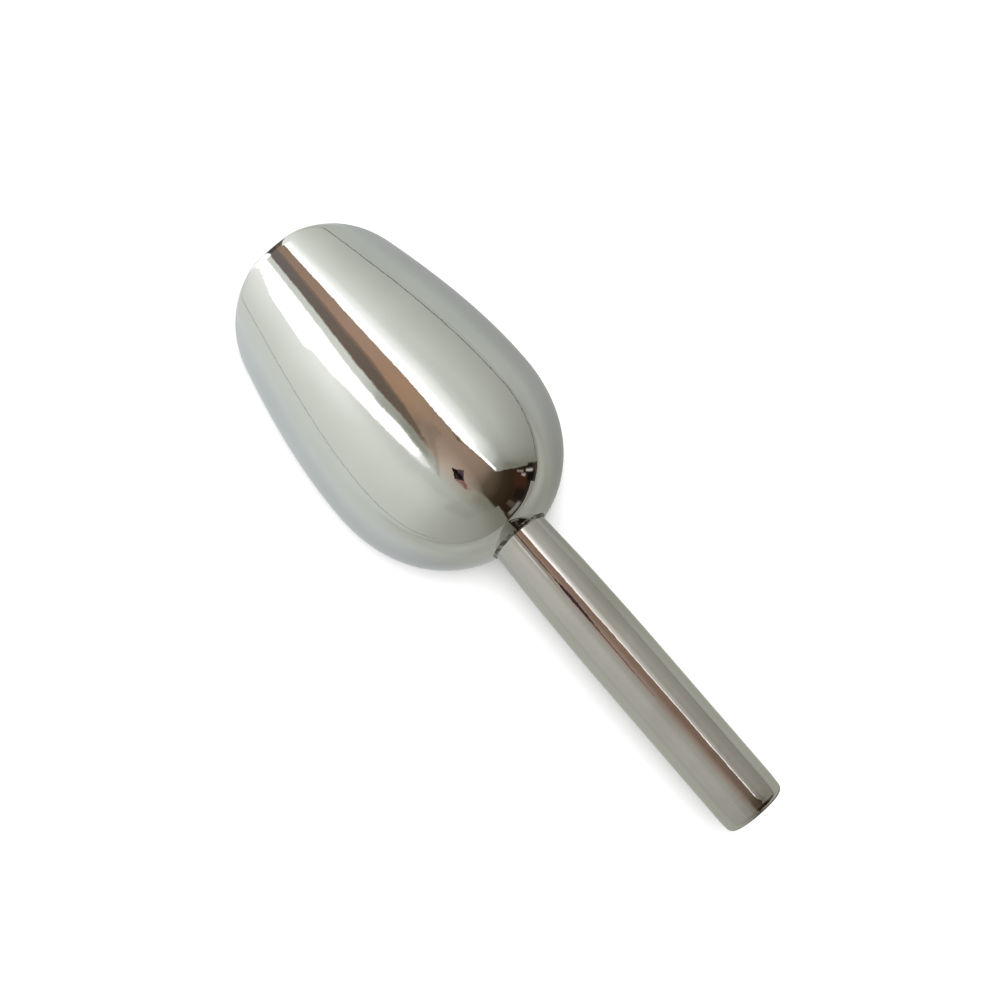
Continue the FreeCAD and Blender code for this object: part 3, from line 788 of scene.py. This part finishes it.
    # way out of the tent, with the dim room behind it
    left = np.interp(el, [-10, 0, 30, 48, 62], [0, 2, 4, 4, -4])
    right = np.interp(el, [-10, 0, 15, 30, 45, 58, 70], [55, 55, 53.5, 51, 48, 43, 38])
    gate = ease((az - left) / np.interp(el, [0, 35, 50, 62], [1.5, 2.5, 8, 24]) + 0.5) * ease((right - az) / 1.2 + 0.5)
    gate = gate * ease((66 - el) / 14) * (z > 1)
    deep = np.stack(
        [np.interp(el, [0, 8, 15, 30, 45, 60], [tone(c)[i] for c in ((62, 54, 47), (40, 32, 26), (38, 29, 22), (44, 32, 22), (52, 42, 29), (86, 76, 62))]) for i in range(3)],
        -1,
    )
    col = col * (1 - gate[..., None]) + deep * gate[..., None]

    def card(a0, a1, e0, e1, c, k=1.0, soft=1.0):
        nonlocal col
        m = ease((az - a0) / soft + 0.5) * ease((a1 - az) / soft + 0.5) * ease((el - e0) / soft + 0.5) * ease((e1 - el) / soft + 0.5)
        col = lay(col, k * m * wall, tone(c))

    card(33, 45, 12, 34, (60, 35, 24), 0.8, 6.0)
    card(40, 49, 2, 13, (18, 15, 13), 0.9, 3.0)
    card(6, 20, 5, 12, (134, 129, 120), 0.8, 4.0)
    card(21, 31, 8, 24, (24, 18, 16), 0.7, 4.5)
    card(12, 17, 14, 26, (92, 80, 70), 0.6, 3.5)
    card(43.8, 46.0, 17, 23, (170, 162, 156), 0.85, 2.2)
    card(47.0, 49.0, 21, 30, (150, 138, 128), 0.7, 1.8)
    card(48.2, 50.0, 6, 17, (186, 180, 174), 0.85, 1.8)
    card(52.4, 55.2, 7, 15, (24, 22, 20), 0.9, 1.6)
    # its sill
    sill = az * 5 / 30.0
    near = (az > 0) & (az < 40) & wall
    col = np.where((near & (el < sill))[..., None], tone((132, 130, 122)), col)
    col = lay(col, near * ease(1.4 - np.abs(el - sill) / 0.9), tone((22, 20, 18)))

    # hem of the floor sheet, turned up against the walls
    hem = 2.2 + 0.8 * np.sin(np.radians(az * 3.1 + 20)) + 0.35 * np.sin(np.radians(az * 11))
    side = ease((np.abs(az) - 56) / 4) * ease((160 - np.abs(az)) / 6) * wall * np.where(az > 0, 0.9, 0.4)
    col = lay(col, side * ease(1.4 - np.abs(el - hem) / 0.6), tone((92, 96, 91)))
    dash = ease((-150 - az) / 3) * ease((az + 166) / 4) * wall
    col = lay(col, 0.8 * dash * ease(1.5 - np.abs(el - hem) / 0.8), tone((60, 61, 57)))
    col = np.where(((el < hem) & wall & (np.abs(az) > 58))[..., None], col * np.array([0.985, 1.0, 1.012]), col)

    return np.maximum(col, 0.0)


def tent_panel(name, origin, u, v, nu, nv, v_power=1.0):
    """A flat panel of the tent with its painted light."""
    a = np.linspace(0, 1, nu + 1)[None, :]
    b = (np.linspace(0, 1, nv + 1) ** v_power)[:, None]
    o, u, v = (np.asarray(k, float) for k in (origin, u, v))
    pts = o + a[..., None] * u + b[..., None] * v
    col = paint(pts[..., 0], pts[..., 1], pts[..., 2])
    mesh = bpy.data.meshes.new(name)
    mesh.from_pydata(world(pts).reshape(-1, 3).tolist(), [], strip(nv + 1, nu + 1, False))
    att = mesh.color_attributes.new("light", "FLOAT_COLOR", "POINT")
    att.data.foreach_set(
        "color", np.concatenate([col, np.ones(col.shape[:2] + (1,))], -1).astype(np.float32).ravel()
    )
    obj = bpy.data.objects.new(name, mesh)
    bpy.context.scene.collection.objects.link(obj)
    obj.visible_camera = False
    obj.visible_diffuse = False
    obj.visible_shadow = False
    obj.visible_transmission = False
    obj.visible_volume_scatter = False
    mesh.materials.append(tent_light)
    return obj


tent_light, tree, out = nodes_of("tent_light")
emit = tree.nodes.new("ShaderNodeEmission")
attr = tree.nodes.new("ShaderNodeAttribute")
attr.attribute_name = "light"
tree.links.new(attr.outputs["Color"], emit.inputs["Color"])
tree.links.new(emit.outputs[0], out.inputs["Surface"])
tent_light.cycles.emission_sampling = "NONE"

XA, XB, YA, YB, H = -560.0, 880.0, -520.0, 520.0, CEILING


def hung_card(name, corners, z, colours, k):
    """A small flat card held in the air, seen only as a reflection."""
    pts = [(x, y, z) for x, y in corners]
    mesh = bpy.data.meshes.new(name)
    mesh.from_pydata(world(pts).tolist(), [], [tuple(range(len(pts)))])
    mat, tree, out = nodes_of(name + "_look")
    emit = tree.nodes.new("ShaderNodeEmission")
    flat = place_coords(tree, (1, 1, 1))
    c = mix_colour(
        tree,
        remap(tree, noise(tree, flat, k, 2, 0.5), 0.45, 0.6, 0, 1),
        tuple(tone(colours[0])),
        tuple(tone(colours[1])),
    )
    tree.links.new(c, emit.inputs["Color"])
    tree.links.new(emit.outputs[0], out.inputs["Surface"])
    mat.cycles.emission_sampling = "NONE"
    mesh.materials.append(mat)
    obj = bpy.data.objects.new(name, mesh)
    bpy.context.scene.collection.objects.link(obj)
    obj.visible_camera = obj.visible_diffuse = obj.visible_shadow = False
    obj.visible_transmission = obj.visible_volume_scatter = False
    return obj


tent_panel("tent_sheet", (XA, YA, -0.02), (XB - XA, 0, 0), (0, YB - YA, 0), 288, 208)
hung_card("camera_body", [(125, 1), (147, -28), (125, -53), (102, -28)], 275.0, ((40, 28, 34), (74, 60, 64)), 60)
hung_card("camera_strap", [(90, -15), (95, -18), (109, -18.5), (113, -17), (109, -12), (95, -11)], 146.0, ((26, 16, 16), (40, 28, 28)), 60)
hung_card("camera_grip", [(144, -28), (186, -36), (192, -42), (177, -51), (127, -52)], 276.0, ((120, 92, 84), (150, 128, 118)), 40)
tent_panel("tent_top", (XA, YA, H), (XB - XA, 0, 0), (0, YB - YA, 0), 288, 208)
tent_panel("tent_side_a", (XA, YA, 0), (XB - XA, 0, 0), (0, 0, H), 200, 110, 1.6)
tent_panel("tent_side_b", (XA, YB, 0), (XB - XA, 0, 0), (0, 0, H), 200, 110, 1.6)
tent_panel("tent_end_a", (XA, YA, 0), (0, YB - YA, 0), (0, 0, H), 120, 80, 1.6)
tent_panel("tent_end_b", (XB, YA, 0), (0, YB - YA, 0), (0, 0, H), 420, 260, 1.3)

# ---------------------------------------------------------------- soft light on the table
scene = bpy.context.scene
world_light = bpy.data.worlds.new("soft_room")
scene.world = world_light
world_light.use_nodes = True
bg = world_light.node_tree.nodes.get("Background") or world_light.node_tree.nodes.new("ShaderNodeBackground")
bg.inputs["Color"].default_value = (1.0, 1.0, 1.0, 1)
bg.inputs["Strength"].default_value = 1.18

lamp_data = bpy.data.lights.new("soft_key", "AREA")
lamp_data.shape = "RECTANGLE"
lamp_data.size, lamp_data.size_y = 1.1, 0.9
lamp_data.energy = 9.0
key = bpy.data.objects.new("soft_key", lamp_data)
scene.collection.objects.link(key)
key.location = (-0.30, 0.38, 1.15)
key.rotation_euler = (math.radians(-18), math.radians(-14), 0)
key.visible_glossy = False

# ---------------------------------------------------------------- camera
cam_data = bpy.data.cameras.new("camera")
cam = bpy.data.objects.new("camera", cam_data)
scene.collection.objects.link(cam)
TURN = math.radians(49.24)
cam_data.sensor_width = 36.0
cam_data.lens = 73.80
cam_data.clip_start = 0.01
cam_data.clip_end = 20
cam.location = ((122.8 + X0) / MM, -20.3 / MM, 0.600)
cam.rotation_euler = (math.radians(3.389), math.radians(-0.018), TURN)
scene.camera = cam
scene.view_settings.view_transform = "Standard"
